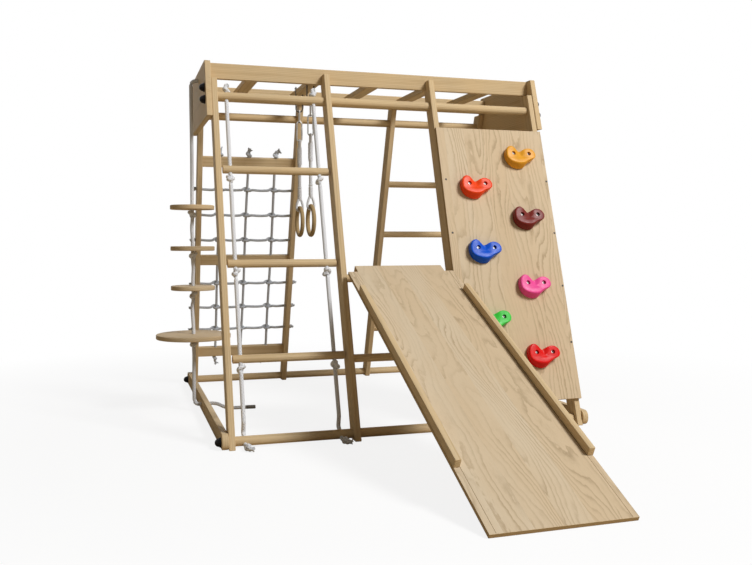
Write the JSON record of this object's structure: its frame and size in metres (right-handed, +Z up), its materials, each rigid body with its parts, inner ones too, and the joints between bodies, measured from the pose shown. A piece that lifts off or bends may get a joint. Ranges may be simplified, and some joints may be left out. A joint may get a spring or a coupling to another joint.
{
  "type": "climbing frame with slide",
  "caption": "Wooden A-frame climbing gym for small children with a slide, a wall with holds, a rope ladder, a rope net, hanging rings and seats on a rope.",
  "frame": {"origin": "middle of the bounding box at the floor", "axes": "+Z up, +X along the length towards the climbing wall, +Y to the back, with the slide reaching to -Y"},
  "size_m": [1.5814, 2.472, 1.4],
  "materials": {
    "pine": "pale sanded softwood, clear matt varnish",
    "birch_plywood": "pale plywood with open grain, matt varnish",
    "white_rope": "braided white rope",
    "dark_steel": "dark oxidised steel",
    "yellow_plastic": "satin moulded plastic",
    "orange_plastic": "satin moulded plastic",
    "maroon_plastic": "satin moulded plastic",
    "blue_plastic": "satin moulded plastic",
    "pink_plastic": "satin moulded plastic",
    "green_plastic": "satin moulded plastic",
    "red_plastic": "satin moulded plastic"
  },
  "bodies": {
    "frame": {"post_front_left": "pine", "post_front_mid_left": "pine", "post_front_mid_right": "pine", "post_front_right": "pine", "post_back_left": "pine", "post_back_mid_left": "pine", "post_back_mid_right": "pine", "post_back_right": "pine", "end_plate_left": "pine", "end_plate_right": "pine", "top_rail_front": "pine", "top_rail_back": "pine", "top_slat_1": "pine", "top_slat_2": "pine", "top_slat_3": "pine", "top_slat_4": "pine", "top_slat_5": "pine", "top_bar_front": "pine", "top_bar_back": "pine", "base_bar_front": "pine", "base_bar_back": "pine", "base_rail_left": "pine", "base_rail_right": "pine", "net_board_top": "pine", "net_board_middle": "pine", "net_board_bottom": "pine", "back_rung_1": "pine", "back_rung_2": "pine", "back_rung_3": "pine", "back_rung_4": "pine", "middle_rung_upper": "pine", "middle_rung_lower": "pine", "ladder_rung_1": "pine", "ladder_rung_2": "pine", "ladder_rung_3": "pine", "climbing_wall": "birch_plywood", "rope_net": "white_rope", "ladder_rope_left": "white_rope", "ladder_rope_right": "white_rope", "seat_rope": "white_rope", "hold_yellow": "yellow_plastic", "hold_orange": "orange_plastic", "hold_maroon": "maroon_plastic", "hold_blue": "blue_plastic", "hold_pink": "pink_plastic", "hold_green": "green_plastic", "hold_red": "red_plastic", "ring_hook_1": "dark_steel", "ring_hook_2": "dark_steel"},
    "slide": {"slide_board": "birch_plywood", "slide_guard_left": "birch_plywood", "slide_guard_right": "birch_plywood"},
    "seat_1": {"rope_seat_1": "pine"},
    "seat_2": {"rope_seat_2": "pine"},
    "seat_3": {"rope_seat_3": "pine"},
    "seat_4": {"rope_seat_4": "pine"},
    "swing_1": {"ring_rope_1": "white_rope"},
    "hand_ring_1": {"ring_1": "pine"},
    "swing_2": {"ring_rope_2": "white_rope"},
    "hand_ring_2": {"ring_2": "pine"}
  },
  "joints": [
    {"name": "slide_lift", "type": "hinge", "parent": "frame", "child": "slide", "pos_m": [0.08785, 0.01447, 0.569], "axis": [1, 0, 0], "range_deg": [-35, 0]},
    {"name": "seat_spin_1", "type": "hinge", "parent": "frame", "child": "seat_1", "pos_m": [-0.63865, 0.51343, 0.8475], "axis": [0, 0, 1], "continuous": true},
    {"name": "seat_spin_2", "type": "hinge", "parent": "frame", "child": "seat_2", "pos_m": [-0.63865, 0.51343, 0.6783], "axis": [0, 0, 1], "continuous": true},
    {"name": "seat_spin_3", "type": "hinge", "parent": "frame", "child": "seat_3", "pos_m": [-0.63865, 0.51343, 0.5151], "axis": [0, 0, 1], "continuous": true},
    {"name": "seat_spin_4", "type": "hinge", "parent": "frame", "child": "seat_4", "pos_m": [-0.63865, 0.51343, 0.3146], "axis": [0, 0, 1], "continuous": true},
    {"name": "ring_swing_1", "type": "hinge", "parent": "frame", "child": "swing_1", "pos_m": [-0.17015, 0.59083, 1.2695], "axis": [0, 1, 0], "range_deg": [-30, 30]},
    {"name": "ring_turn_1", "type": "hinge", "parent": "swing_1", "child": "hand_ring_1", "pos_m": [-0.17015, 0.59083, 0.8535], "axis": [0, 1, 0], "range_deg": [-60, 60]},
    {"name": "ring_swing_2", "type": "hinge", "parent": "frame", "child": "swing_2", "pos_m": [-0.17015, 0.37083, 1.2695], "axis": [0, 1, 0], "range_deg": [-30, 30]},
    {"name": "ring_turn_2", "type": "hinge", "parent": "swing_2", "child": "hand_ring_2", "pos_m": [-0.17015, 0.37083, 0.8535], "axis": [0, 1, 0], "range_deg": [-60, 60]}
  ]
}
